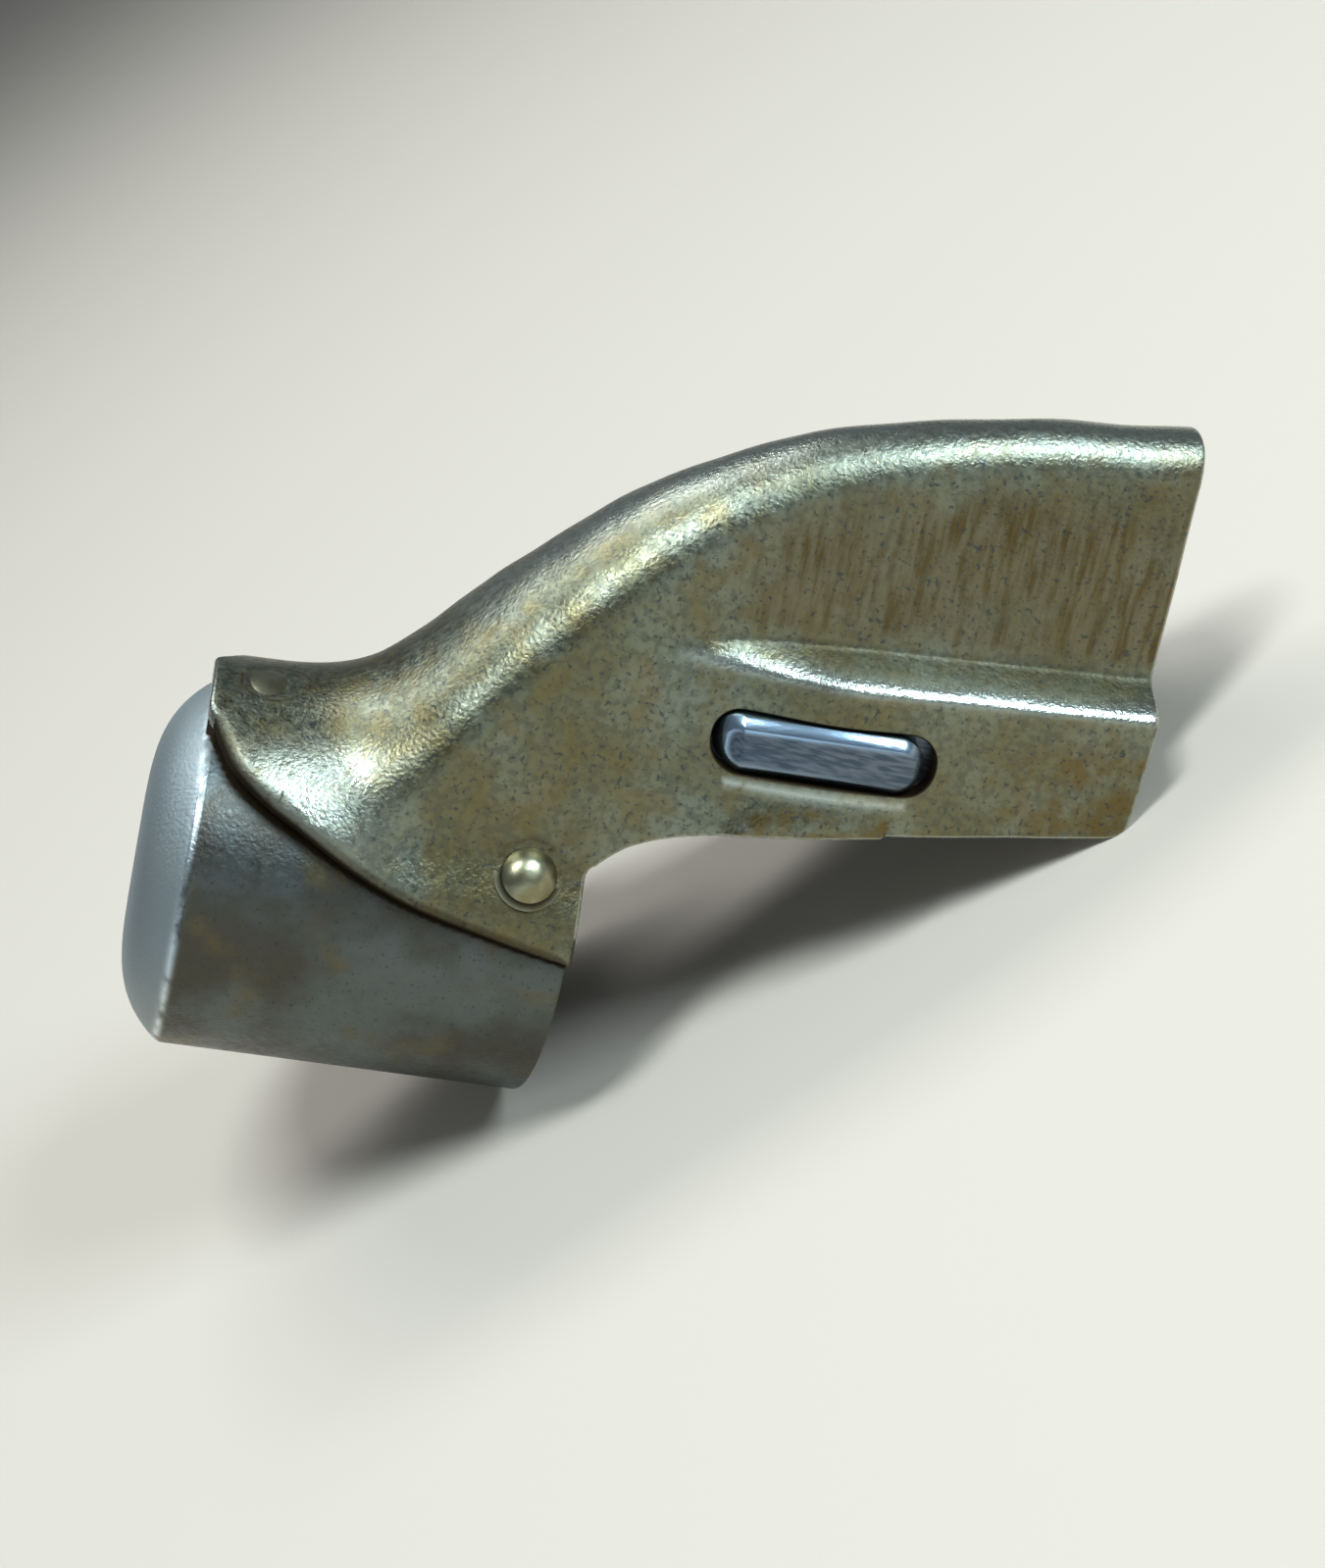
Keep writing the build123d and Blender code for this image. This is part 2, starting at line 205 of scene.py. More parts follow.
def round_corners(points, radii, arc_steps=7):
    """A polyline with each inner corner replaced by an arc that reaches radius along both sides."""
    points = [np.array(p, float) for p in points]
    result = [points[0]]
    for before, corner, after, radius in zip(points, points[1:], points[2:], radii):
        if radius == 0:
            result.append(corner)
            continue
        to_before, to_after = before - corner, after - corner
        reach = min(radius, 0.45 * np.linalg.norm(to_before), 0.45 * np.linalg.norm(to_after))
        start = corner + to_before / np.linalg.norm(to_before) * reach
        end = corner + to_after / np.linalg.norm(to_after) * reach
        for step in range(arc_steps + 1):
            t = step / arc_steps
            result.append((1 - t) ** 2 * start + 2 * t * (1 - t) * corner + t ** 2 * end)
    result.append(points[-1])
    return np.array(result)


def evenly(points, spacing):
    """Points spaced evenly along a polyline, ends kept."""
    points = np.asarray(points, float)
    run = np.concatenate([[0], np.cumsum(np.linalg.norm(np.diff(points, axis=0), axis=1))])
    count = max(int(round(run[-1] / spacing)), 2)
    at = np.linspace(0, run[-1], count + 1)
    return np.stack([np.interp(at, run, points[:, k]) for k in range(points.shape[1])], 1)


# ---------------------------------------------------------------- the hood's skin

def soft_above(value, reach):
    """The value where it is above 0, else 0, with the corner between them rounded over reach."""
    return np.maximum(value, 0) + np.maximum(reach - np.abs(value), 0) ** 2 / (4 * reach)


def ledge_out(x, z, depth):
    """How far the lower panel stands out at x and z."""
    low = LEDGE_LOW + LEDGE_RISE * x - depth
    amount = smooth_step((x - LEDGE_START) / (LEDGE_FULL - LEDGE_START))
    ramp = LEDGE_OUT * (low + LEDGE_BAND - z) / LEDGE_BAND
    missing = soft_above(LEDGE_OUT - soft_above(ramp, LEDGE_CORNER_REACH), LEDGE_EDGE_REACH)
    return amount * (LEDGE_OUT - missing - LEDGE_NARROWS * np.maximum(low - z, 0))


def hood_section(x, angle, depth):
    """(Y, Z) of the hood's section at x and an angle above the horizontal, depth under its skin."""
    ridge_round = curve_at(RIDGE_ROUND, x) - depth
    slant = np.radians(curve_at(PANEL_SLANT, x))
    step = 0.1
    climb = (curve_at(RIDGE_HEIGHT, x + step) - curve_at(RIDGE_HEIGHT, x - step)) / (2 * step)
    top = curve_at(RIDGE_HEIGHT, x) - depth * np.hypot(1, climb)
    centre = top - ridge_round
    tangent = np.arctan2(centre + ridge_round * np.sin(slant), ridge_round * np.cos(slant))
    flat = (ridge_round + centre * np.sin(slant)) / np.cos(angle - slant)
    side = centre * np.cos(angle)
    over = centre * np.sin(angle) + np.sqrt(np.maximum(ridge_round ** 2 - side ** 2, 0))
    radius = smooth_max(np.where(angle < tangent, flat, over), WRAP_RADIUS - depth, WRAP_BLEND)
    y, z = radius * np.cos(angle), radius * np.sin(angle)
    return y + ledge_out(x, z, depth), z


class HoodSheet:
    """The hood's sheet over (x, v): v is 0 on the ridge and about 1 per millimetre down either side.

    The ledge's upper and lower lines lie at v = HIGH_V and LOW_V. The left side has negative v.
    """

    HIGH_V = 9.0
    LOW_V = 11.0
    LAST_V = 28.0
    X_STEP = 0.2
    V_STEP = 0.1
    LOWEST_ANGLE = math.radians(12)
    LEVEL_BELOW = 1.2
    TURNS_RADIAL = 1.2

    def __init__(self):
        self.xs = np.arange(HOOD_FRONT - 1, HOOD_REAR + 1.01, self.X_STEP)
        self.vs = np.arange(-self.LAST_V, self.LAST_V + self.V_STEP / 2, self.V_STEP)
        self.angles = np.linspace(self.LOWEST_ANGLE, SQUARE, 1500)
        self.outer, self.v_rows, self.z_rows = self._outer_grid()
        self.inner = self._inner_grid()

    def _outer_grid(self):
        """Outer skin's points, and for each station v and height at every angle.

        Over the cup, where there is no ledge, its lines lie as far down as at the mouth.
        """
        y, z = hood_section(self.xs[:, None], self.angles[None, :], 0.0)
        run = np.zeros_like(y)
        run[:, 1:] = np.cumsum(np.hypot(np.diff(y, axis=1), np.diff(z, axis=1)), axis=1)
        down = run[:, -1:] - run
        v_rows = np.empty_like(down)
        grid = np.empty((len(self.xs), len(self.vs), 3))
        grid[:, :, 0] = self.xs[:, None]
        mouth = int(np.searchsorted(self.xs, 0.0))
        for i in range(len(self.xs)):
            at = max(i, mouth)
            low_z = LEDGE_LOW + LEDGE_RISE * self.xs[at]
            high, low = np.interp([low_z + LEDGE_BAND, low_z], z[at], down[at])
            far = low + self.LAST_V
            v_rows[i] = np.interp(down[i], [0, high, low, far],
                                  [0, self.HIGH_V, self.LOW_V, self.LOW_V + self.LAST_V])
            grid[i, :, 1] = np.sign(self.vs) * np.interp(np.abs(self.vs), v_rows[i][::-1], y[i][::-1])
            grid[i, :, 2] = np.interp(np.abs(self.vs), v_rows[i][::-1], z[i][::-1])
        return grid, v_rows, z

    def _inner_grid(self):
        """Inner skin's points: radial from the outer ones over the cup, straight across behind it.

        Higher than LEVEL_BELOW under the ledge or the ridge, they close up to fit under the inner
        ridge. The turn from radial to across is over the last TURNS_RADIAL before the mouth.
        """
        y, z = hood_section(self.xs[:, None], self.angles[None, :], SHEET)
        grid = self.outer.copy()
        for i, x in enumerate(self.xs):
            outer_z, outer_top = self.outer[i, :, 2], self.z_rows[i, -1]
            level = min(LEDGE_LOW + LEDGE_RISE * x - self.LEVEL_BELOW, outer_top - self.LEVEL_BELOW)
            across = np.interp(outer_z, [0, level, outer_top], [0, level, z[i, -1]])
            radial = np.interp(np.arctan2(outer_z, np.abs(self.outer[i, :, 1])), self.angles, z[i])
            share = smooth_step(x / self.TURNS_RADIAL + 1)
            grid[i, :, 2] = radial + (across - radial) * share
            grid[i, :, 1] = np.sign(self.vs) * np.interp(grid[i, :, 2], z[i], y[i])
        return grid

    def v_where(self, x, keys, value):
        """v at x where a row of keys (one per angle) reaches a value, between two stations."""
        place = (x - self.xs[0]) / self.X_STEP
        i = int(np.clip(math.floor(place), 0, len(self.xs) - 2))
        ends = [float(np.interp(value, keys[j], self.v_rows[j])) for j in (i, i + 1)]
        return ends[0] + (ends[1] - ends[0]) * (place - i)

    def v_at_angle(self, x, degrees):
        return self.v_where(x, [self.angles] * len(self.xs), math.radians(degrees))

    def v_at_height(self, x, z):
        return self.v_where(x, self.z_rows, z)

    def sample(self, grid, xv):
        """Points of a grid at (x, v), by a smooth curve through its nearest four rows and columns."""
        gx = (xv[:, 0] - self.xs[0]) / self.X_STEP
        gv = (xv[:, 1] - self.vs[0]) / self.V_STEP
        ix = np.clip(np.floor(gx).astype(int), 1, len(self.xs) - 3)
        iv = np.clip(np.floor(gv).astype(int), 1, len(self.vs) - 3)
        x_shares, v_shares = four_shares(gx - ix), four_shares(gv - iv)
        total = np.zeros((len(xv), 3))
        for a in range(4):
            for b in range(4):
                total += (x_shares[a] * v_shares[b])[:, None] * grid[ix + a - 1, iv + b - 1]
        return total

    def slopes(self, xv):
        """Tangents of the outer skin along x and v, and its outward normal."""
        reach = 0.05
        dx, dv = np.array([reach, 0]), np.array([0, reach])
        along = (self.sample(self.outer, xv + dx) - self.sample(self.outer, xv - dx)) / (2 * reach)
        down = (self.sample(self.outer, xv + dv) - self.sample(self.outer, xv - dv)) / (2 * reach)
        normal = np.cross(down, along)
        normal /= np.linalg.norm(normal, axis=1)[:, None]
        return along, down, normal

    def points(self, xv, depth):
        """Points of the sheet at (x, v) and a depth from 0 to SHEET, with its dents and its crimp."""
        outer, inner = self.sample(self.outer, xv), self.sample(self.inner, xv)
        share = (np.asarray(depth) / SHEET)[:, None]
        normal = self.slopes(xv)[2]
        push = crimp_depth(outer) + dent_depth(outer)
        return outer + (inner - outer) * share - normal * push[:, None]


def four_shares(t):
    """Catmull-Rom weights of four evenly spaced values at t past the second."""
    return (0.5 * (-t ** 3 + 2 * t ** 2 - t), 0.5 * (3 * t ** 3 - 5 * t ** 2 + 2),
            0.5 * (-3 * t ** 3 + 4 * t ** 2 + t), 0.5 * (t ** 3 - t ** 2))


def crimp_depth(points):
    """How deep the hood's bottom edge is pinched inward under the slot."""
    x, z = points[:, 0], points[:, 2]
    below = np.maximum(curve_at(CRIMP_TOP, x) - z, 0)
    ends = smooth_step((x - CRIMP_TOP[0][0]) / 1.5) * smooth_step((CRIMP_STEP - x) / 0.22)
    return ends * np.minimum(below * CRIMP_SLOPE, CRIMP_DEPTH)


def dent_depth(points):
    """Slow waves left by the pressing, always inward."""
    x, y, z = points.T
    return (0.065 - 0.035 * np.sin(0.61 * x + 1.3) * np.sin(0.47 * z + 0.4 * y)
            - 0.018 * np.sin(1.37 * x - 0.9 * z + 0.7) - 0.012 * np.sin(1.9 * z + 0.8 * x - 1.1 * y))


# ---------------------------------------------------------------- meshes

def new_piece(name, vertices, faces, material, **attributes):
    """A smooth-shaded object in the row frame from bore-frame vertices in millimetres."""
    placed = in_row(vertices)
    faces = [[int(i) for i in face] for face in faces]
    if volume(placed, faces) < 0:
        faces = [face[::-1] for face in faces]
    mesh = bpy.data.meshes.new(name)
    mesh.from_pydata(placed.tolist(), [], faces)
    for key, values in attributes.items():
        layer = mesh.attributes.new(key, "FLOAT", "POINT")
        layer.data.foreach_set("value", np.asarray(values, np.float32))
    mesh.polygons.foreach_set("use_smooth", [True] * len(mesh.polygons))
    mesh.materials.append(material)
    piece = bpy.data.objects.new(name, mesh)
    bpy.context.scene.collection.objects.link(piece)
    return piece


def volume(points, faces):
    """Volume in a closed surface, negative where its faces look inward."""
    corners = np.array([(face[0], b, c) for face in faces for b, c in zip(face[1:], face[2:])])
    a, b, c = (points[corners[:, k]] for k in range(3))
    return np.einsum("ij,ij->", a, np.cross(b, c)) / 6


def ring_faces(rows):
    """Quads between rows of vertex numbers, each row a closed ring."""
    return [(a[i], a[(i + 1) % len(a)], b[(i + 1) % len(a)], b[i])
            for a, b in zip(rows, rows[1:]) for i in range(len(a))]


def seam_edge():
    """Left half of the sheet's edge in (x, v), from the ridge at the front to the ridge at the rear."""
    seam = [(x, SHEET_V.v_at_angle(x, curve_at(SEAM_ANGLE, x))) for x in np.linspace(HOOD_FRONT, 0, 50)]
    bottom_xs = np.linspace(0, BOTTOM_EDGE[-1][0], 60)
    bottom = [(x, SHEET_V.v_at_height(x, curve_at(BOTTOM_EDGE, x))) for x in bottom_xs]
    start, control = BOTTOM_EDGE[-1], (HOOD_REAR - 0.05, BOTTOM_EDGE[-1][1] + 0.15)
    end = (HOOD_REAR, BOTTOM_EDGE[-1][1] + REAR_CORNER_LIFT)
    corner = []
    for t in np.linspace(0.1, 1, 10):
        x, z = ((1 - t) ** 2 * start[k] + 2 * t * (1 - t) * control[k] + t ** 2 * end[k] for k in (0, 1))
        corner.append((x, SHEET_V.v_at_height(x, z)))
    points = [(HOOD_FRONT, 0)] + seam + bottom + corner + [(HOOD_REAR, 0)]
    radii = [0.0] * (len(points) - 2)
    radii[0] = FRONT_CORNER
    radii[len(seam) - 1] = 0.2
    radii[len(seam)] = 0.35
    return evenly(round_corners(points, radii), EDGE_SPACING)


def slot_edge():
    """The left slot's edge in (x, v)."""
    cos, sin = math.cos(SLOT_TILT), math.sin(SLOT_TILT)
    placed = []
    for a, b in evenly(rounded_rectangle(SLOT_LENGTH, SLOT_HEIGHT, SLOT_CORNER), EDGE_SPACING)[:-1]:
        x, z = SLOT_CENTRE[0] + a * cos - b * sin, SLOT_CENTRE[1] + a * sin + b * cos
        placed.append((x, SHEET_V.v_at_height(x, z)))
    return np.array(placed)


def rounded_rectangle(length, height, radius, arc_steps=12):
    """Closed outline about the origin, its last point the same as its first."""
    across, up = length / 2 - radius, height / 2 - radius
    corners = ((across, up, 0), (-across, up, 90), (-across, -up, 180), (across, -up, 270))
    outline = []
    for cx, cz, start in corners:
        for step in range(arc_steps + 1):
            turn = math.radians(start + 90 * step / arc_steps)
            outline.append((cx + radius * math.cos(turn), cz + radius * math.sin(turn)))
    return np.array(outline + outline[:1])


def wound(loop, leftward):
    """The loop run so that its inside lies on its left in (x, v), or on its right."""
    after = np.roll(loop, -1, axis=0)
    area = 0.5 * np.sum(loop[:, 0] * after[:, 1] - after[:, 0] * loop[:, 1])
    return loop if (area > 0) == leftward else loop[::-1]


def inward_steps(loop):
    """For each loop point, the step in (x, v) that moves 1 mm over the skin to the loop's left."""
    before, after = np.roll(loop, 1, axis=0), np.roll(loop, -1, axis=0)
    along, down, normal = SHEET_V.slopes(loop)
    run = SHEET_V.sample(SHEET_V.outer, after) - SHEET_V.sample(SHEET_V.outer, before)
    run /= np.linalg.norm(run, axis=1)[:, None]
    into = np.cross(normal, run)
    steps = np.array([np.linalg.lstsq(np.stack([a, d], 1), i, rcond=None)[0]
                      for a, d, i in zip(along, down, into)])
    left = np.stack([-(after - before)[:, 1], (after - before)[:, 0]], 1)
    return steps * np.sign(np.sum(steps * left, axis=1))[:, None]


def rim_rows(radius):
    """(inset, depth) of each row of the sheet's edge, from its outer skin round to its inner one."""
    steps = 4
    under = np.minimum(radius, INNER_ROUND)
    rows = []
    for turn in np.linspace(0, SQUARE, steps + 1):
        rows.append((radius * (1 - math.sin(turn)), radius * (1 - math.cos(turn))))
    for turn in np.linspace(0, SQUARE, steps + 1):
        rows.append((under * (1 - math.cos(turn)), SHEET - under * (1 - math.sin(turn))))
    rows.append((radius, np.full_like(radius, SHEET)))
    return rows


def contains(loop, points):
    """Which points lie inside a closed loop."""
    inside = np.zeros(len(points), bool)
    x, y = points.T
    for (x0, y0), (x1, y1) in zip(loop, np.roll(loop, -1, axis=0)):
        if y0 != y1:
            inside ^= ((y0 > y) != (y1 > y)) & (x < (x1 - x0) * (y - y0) / (y1 - y0) + x0)
    return inside


def in_sheet(loops, points):
    """Which points lie inside the first loop and outside the others."""
    inside = contains(loops[0], points)
    for loop in loops[1:]:
        inside &= ~contains(loop, points)
    return inside


def inner_grid(loops):
    """Grid points in (x, v) in the sheet and clear of its edges, closer set along the ledge's lines."""
    spacing = 0.25
    xs = np.arange(HOOD_FRONT + spacing, HOOD_REAR, spacing)
    vs = np.arange(0, SHEET_V.LAST_V, spacing)
    fine = [line + offset for line in (SHEET_V.HIGH_V, SHEET_V.LOW_V)
            for offset in (-0.37, -0.13, 0.13, 0.37)]
    vs = np.sort(np.concatenate([vs, fine]))
    vs = np.concatenate([-vs[:0:-1], vs])
    grid = np.array([(x, v) for x in xs for v in vs])
    grid = grid[in_sheet(loops, grid)]
    edges = np.concatenate(loops)
    gaps = np.concatenate([np.min(np.linalg.norm(part[:, None] - edges[None], axis=2), axis=1)
                           for part in np.array_split(grid, 20)])
    return grid[gaps > 0.13]


def make_hood(material):
    """Folded sheet: rounded edges round its outline and its slots, then the skins between them."""
    half = seam_edge()
    slot = slot_edge()
    mirrored = np.array([1, -1])
    outline = wound(np.concatenate([half * mirrored, half[-2:0:-1]]), True)
    loops = [outline, wound(slot, False), wound(slot * mirrored, False)]
    on_seam = (outline[:, 0] < -0.3) & (np.abs(outline[:, 1]) > 2) & (outline[:, 0] > HOOD_FRONT + 0.2)
    radius = np.where(on_seam, SEAM_ROUND, EDGE_ROUND)
    wide = 9
    padded = np.concatenate([radius[-wide // 2 + 1:], radius, radius[:wide // 2]])
    radius = np.convolve(padded, np.ones(wide) / wide, "valid")
    rounds = [radius, np.full(len(slot), SLOT_ROUND), np.full(len(slot), SLOT_ROUND)]

    points, faces, edge_share, outer_ids, inner_ids, fills = [], [], [], [], [], []
    count = 0
    for loop, radius in zip(loops, rounds):
        steps = inward_steps(loop)
        rows = []
        for inset, depth in rim_rows(radius):
            points.append(SHEET_V.points(loop + steps * inset[:, None], depth))
            edge_share.append(1 - inset / radius)
            rows.append(np.arange(count, count + len(loop)))
            count += len(loop)
        faces += ring_faces(rows)
        outer_ids.append(rows[0])
        inner_ids.append(rows[-1])
        fills.append(loop + steps * radius[:, None])

    middle = inner_grid(fills)
    outer_ids.append(np.arange(count, count + len(middle)))
    inner_ids.append(np.arange(count + len(middle), count + 2 * len(middle)))
    for depth in (0, SHEET):
        points.append(SHEET_V.points(middle, np.full(len(middle), float(depth))))
        edge_share.append(np.zeros(len(middle)))
    outer_ids, inner_ids = np.concatenate(outer_ids), np.concatenate(inner_ids)
    for triangle in triangulated(fills, middle):
        faces.append(outer_ids[triangle][::-1])
        faces.append(inner_ids[triangle])
    points, edge_share = np.concatenate(points), np.concatenate(edge_share)
    return new_piece("hood_sheet", points, faces, material,
                     wear=hood_wear(points, edge_share), grime=hood_grime(points, edge_share),
                     panel=panel_brown(points), gold=golden_tint(points))


def triangulated(loops, middle):
    """Triangles over the loops' points and the middle points, as rows of three point numbers."""
    flat = np.concatenate(loops + [middle])
    edges, start = [], 0
    for loop in loops:
        edges += [(start + i, start + (i + 1) % len(loop)) for i in range(len(loop))]
        start += len(loop)
    made = delaunay_2d_cdt([Vector(point) for point in flat], edges, [], 1, 1e-6)
    sources = np.array([source[0] if source else -1 for source in made[3]])
    triangles = sources[np.array([list(face) for face in made[2]])]
    triangles = triangles[(triangles >= 0).all(axis=1)]
    centres = flat[triangles].mean(axis=1)
    return triangles[in_sheet(loops, centres)]


def along_seam(points):
    """Which points lie near the seam over the cup."""
    x, y, z = points.T
    angle = np.degrees(np.arctan2(z, np.abs(y)))
    return (x < 0.1) & (x > HOOD_FRONT + 0.3) & (angle < curve_at(SEAM_ANGLE, x) + 8)


def slot_level(x):
    """Height of the slot's middle line at x."""
    return SLOT_CENTRE[1] + (x - SLOT_CENTRE[0]) * math.tan(SLOT_TILT)


def round_slot(points):
    """Which points lie in a slot or a little way round it."""
    margin = 0.4
    x, _, z = points.T
    along = np.abs(x - SLOT_CENTRE[0]) - SLOT_LENGTH / 2 - margin
    across = np.abs(z - slot_level(x)) - SLOT_HEIGHT / 2 - margin
    return (along < 0) & (across < 0)


def on_left(points):
    """The points with those of the right side mirrored to the left."""
    return points * [1, 0, 1] - np.abs(points * [0, 1, 0])


def hood_wear(points, edge_share):
    """How bright the brass is from rubbing and from painted highlights, from 0 to 1.

    Its edges, the ledge, the ridge, the front over the cup and the lip under the slot: partly real
    rubbing, partly painted highlights on these rounded places; along the seam only the top of the rolled
    edge, a painted highlight.
    """
    x, y, z = points.T
    # Painted highlight: along the seam only the top of the rolled edge is bright
    lit_shoulder = np.exp(-((edge_share - 0.12) / 0.14) ** 2) * (edge_share > 0)
    edge_share = np.where(along_seam(points), lit_shoulder, edge_share)
    edge_share = np.where(round_slot(points), 0, edge_share)
    low = LEDGE_LOW + LEDGE_RISE * x
    # Painted highlights, mixed with rubbing, along the ledge's rounded edge, the lip under the slot, the
    # ridge and the front over the cup
    ledge = smooth_step((x - 1) / 4) * np.exp(-((z - low - 0.05) / 0.28) ** 2) * (np.abs(y) > 3.5)
    slot_low = slot_level(x) - SLOT_HEIGHT / 2
    lip = 0.7 * np.exp(-((z - slot_low + 0.45) / 0.2) ** 2) * (np.abs(x - SLOT_CENTRE[0]) < 4)
    on_top = z > curve_at(RIDGE_HEIGHT, x) - 1.8
    ridge = 0.7 * np.exp(-(y / 1.3) ** 2) * on_top * smooth_step((x + 9) / 6)
    angle = np.degrees(np.arctan2(z, np.abs(y)))
    front = 0.5 * np.exp(-((x + 13) / 3) ** 2) * smooth_step((72 - angle) / 14)
    return np.maximum.reduce([edge_share, ledge, ridge, front, lip * (np.abs(y) > 3)])


def ring_round(points, centre, radius, width):
    """1 on a ring round a place, falling off to both sides."""
    gap = np.linalg.norm(points - centre, axis=1)
    return np.exp(-((gap - radius) / width) ** 2)


def hood_grime(points, edge_share):
    """Painted shade, with some dirt, round the rivets, under the seam, in the ledge's corner and the
    slots, from 0 to 1.
    """
    x, y, z = points.T
    # Painted shade where the seam's rolled edge turns under into the gap
    band = 0.55 * smooth_step((edge_share - 0.2) / 0.2) + 0.45 * smooth_step((edge_share - 0.75) / 0.2)
    under_seam = np.where(along_seam(points), band, 0)
    side_collar, top_collar = SIDE_HEAD[0] + SIDE_HEAD[3], TOP_HEAD[0] + TOP_HEAD[3]
    # Painted shade round the rivets' collars, a dark outline where head and sheet meet
    ring = 0.55 * ring_round(on_left(points), rivet_place(*SIDE_RIVET), side_collar + 0.05, 0.1)
    top_ring = ring_round(points, rivet_place(TOP_RIVET_X, 90), top_collar + 0.03, 0.12)
    # Painted shade in the ledge's inner corner and on the slots' walls
    high = LEDGE_LOW + LEDGE_RISE * x + LEDGE_BAND
    corner = 0.5 * smooth_step((x - 2) / 5) * np.exp(-((z - high - 0.05) / 0.22) ** 2) * (np.abs(y) > 3)
    walls = round_slot(points) * smooth_step((edge_share - 0.05) / 0.5)
    return np.maximum.reduce([under_seam, ring, top_ring, corner, walls])


def panel_brown(points):
    """How brown and scratched the tarnish is, from 0 to 1: the upper panels below the ridge."""
    x, _, z = points.T
    high = LEDGE_LOW + LEDGE_RISE * x + LEDGE_BAND
    upper = smooth_step((x - 1) / 6) * smooth_step((z - high - 0.2) / 1.0)
    below_ridge = smooth_step((curve_at(RIDGE_HEIGHT, x) - 1.2 - z) / 2.5)
    return upper * below_ridge


def golden_tint(points):
    """How golden the tarnish is, from 0 to 1: rear corner, pinched edge and round the rivets."""
    x, _, z = points.T
    level = LEDGE_LOW + LEDGE_RISE * x
    rear = 0.9 * smooth_step((x - 15) / 5) * smooth_step((level - 0.8 - z) / 1.5)
    crimp = smooth_step(crimp_depth(points) / CRIMP_DEPTH * 2)
    away = np.linalg.norm(on_left(points) - rivet_place(*SIDE_RIVET), axis=1)
    rivet = 0.7 * np.exp(-(away / 2.6) ** 2)
    return np.maximum.reduce([rear, crimp, rivet])


def rivet_place(x, angle):
    turn = math.radians(angle)
    return np.array([x, -WRAP_RADIUS * math.cos(turn), WRAP_RADIUS * math.sin(turn)])


def lathe(profile, seat, count):
    """Points and faces of a profile of (distance from the axis, height) turned about an axis.

    seat is (origin, axis, across, aside). The profile starts and ends on the axis.
    """
    origin, axis, across, aside = (np.array(part, float) for part in seat)
    turns = np.arange(count) * 2 * math.pi / count
    points, rows = [origin + axis * profile[0][1]], []
    for radius, height in profile[1:-1]:
        rows.append(list(range(len(points), len(points) + count)))
        for turn in turns:
            points.append(origin + axis * height
                          + radius * (across * math.cos(turn) + aside * math.sin(turn)))
    last = len(points)
    points.append(origin + axis * profile[-1][1])
    faces = ring_faces(rows)
    for i in range(count):
        j = (i + 1) % count
        faces.append((0, rows[0][j], rows[0][i]))
        faces.append((last, rows[-1][i], rows[-1][j]))
    return np.array(points), faces


def dome_curve(start, radius):
    """Half profile of a dome from the axis to its edge at start, as (radius, x)."""
    shares = np.sin(np.linspace(0, SQUARE, 30))
    return [(radius * share, start - DOME_HEIGHT * (1 - share ** DOME_FULLNESS)) for share in shares]


def make_cup(material):
    """Drawn cup with its domed end, a plain bore and a rounded mouth."""
    bore_radius = CUP_RADIUS - CUP_WALL
    outer_dome = dome_curve(-CUP_LENGTH, CUP_RADIUS - RIM_ROUND / 2)
    inner_dome = dome_curve(-BORE_DEPTH, bore_radius)[::-1]
    wall = [(CUP_RADIUS, RIM_ROUND - CUP_LENGTH)] + [(CUP_RADIUS, x) for x in np.arange(-16.6, -0.5, 0.2)]
    corners = [*outer_dome, *wall, (CUP_RADIUS, 0), (bore_radius, 0), *inner_dome]
    radii = [0.0] * (len(corners) - 2)
    mouth = len(outer_dome) + len(wall)
    radii[mouth - 1] = radii[mouth] = MOUTH_ROUND
    radii[len(outer_dome) - 2] = radii[len(outer_dome) - 1] = RIM_ROUND / 2
    profile = round_corners(corners, radii, arc_steps=4)
    points, faces = lathe(profile, ((0, 0, 0), (1, 0, 0), (0, 1, 0), (0, 0, 1)), 400)
    x, y, z = points.T
    angle = np.degrees(np.arctan2(z, np.abs(y)))
    seam = curve_at(SEAM_ANGLE, x)
    gap = np.radians(seam - angle) * CUP_RADIUS
    # Painted shade: the bore is dark inside, and a dark line runs along the seam where the hood's edge
    # overhangs the cup, fading off onto it
    inside = (np.hypot(y, z) < CUP_RADIUS - 0.35) & (x > -CUP_LENGTH + 0.3)
    line = 1 - smooth_step((gap - SEAM_GAP) / 0.15)
    grime = np.maximum(line, 0.4 * np.exp(-np.maximum(gap - SEAM_GAP, 0) / 0.5)) * (gap > -0.8)
    grime = np.where(inside, 0.8, np.where(x < -CUP_LENGTH - 0.1, 0, grime))
    # Painted highlight along the dome's rounded rim, with some rubbing
    rim_worn_and_lit = np.exp(-((x + CUP_LENGTH) / 0.16) ** 2)
    dome = smooth_step((-CUP_LENGTH + 0.05 - x) / 0.15)
    return new_piece("cup_shell", points, faces, material, wear=rim_worn_and_lit, grime=grime, dome=dome)


